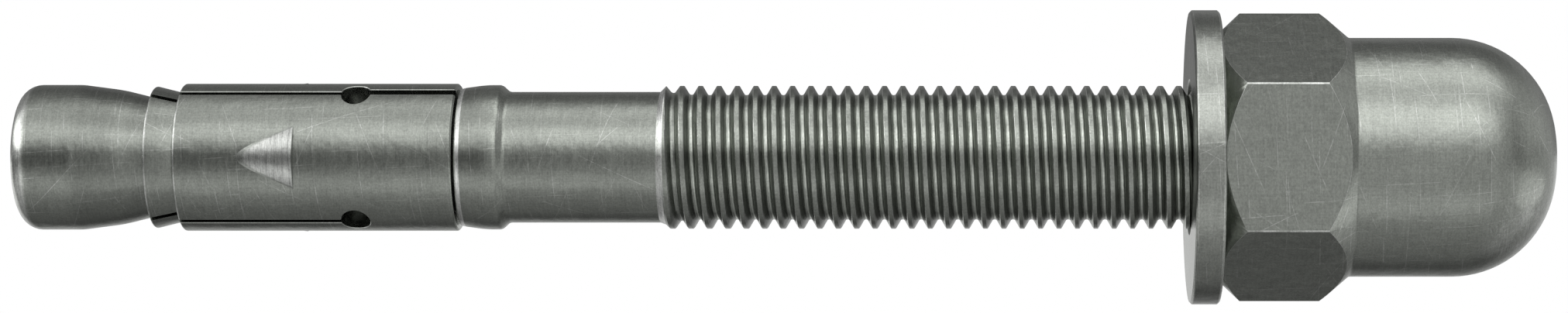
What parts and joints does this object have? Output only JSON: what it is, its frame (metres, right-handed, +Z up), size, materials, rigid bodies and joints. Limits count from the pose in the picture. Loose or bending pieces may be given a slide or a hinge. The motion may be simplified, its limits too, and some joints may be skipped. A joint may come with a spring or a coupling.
{
  "type": "wedge anchor",
  "caption": "Torque-set wedge anchor for a drilled hole: cone bolt with a slit expansion sleeve, a flat washer and a one-piece domed hexagon cap nut.",
  "frame": {"origin": "on the anchor's axis, in the plane of the washer's clamping face, where the fixture is held", "axes": "+X along the axis from the cone end to the dome of the cap nut, -X is the way the anchor enters its hole; +Z is up as it lies; one flat of the hexagon and one barb face -Y"},
  "size_m": [0.1041, 0.02, 0.02],
  "materials": {
    "bolt_steel": "turned and drawn stainless steel, fine marks round the axis, bright worn edges",
    "sleeve_steel": "rolled stainless sheet, fine rubbed marks, bright cut edges",
    "washer_steel": "pressed stainless steel, bright rims",
    "nut_steel": "turned stainless steel, brushed dome, light scratches on the flats"
  },
  "bodies": {
    "bolt": {"cone_bolt": "bolt_steel"},
    "sleeve": {"expansion_sleeve": "sleeve_steel"},
    "washer": {"washer": "washer_steel"},
    "nut": {"cap_nut": "nut_steel"}
  },
  "joints": [
    {"name": "sleeve_turn", "type": "hinge", "parent": "bolt", "child": "sleeve", "pos_m": [0, 0, 0], "axis": [1, 0, 0], "continuous": true},
    {"name": "washer_slide", "type": "slide", "parent": "bolt", "child": "washer", "axis": [1, 0, 0], "range_m": [-0.00562, 0.01]},
    {"name": "nut_turn", "type": "hinge", "parent": "washer", "child": "nut", "pos_m": [0, 0, 0], "axis": [1, 0, 0], "range_deg": [-1620, 2880]}
  ],
  "couplings": [
    {"joint": "nut_turn", "follows": "washer_slide", "rad_per_m": 5026.5}
  ]
}
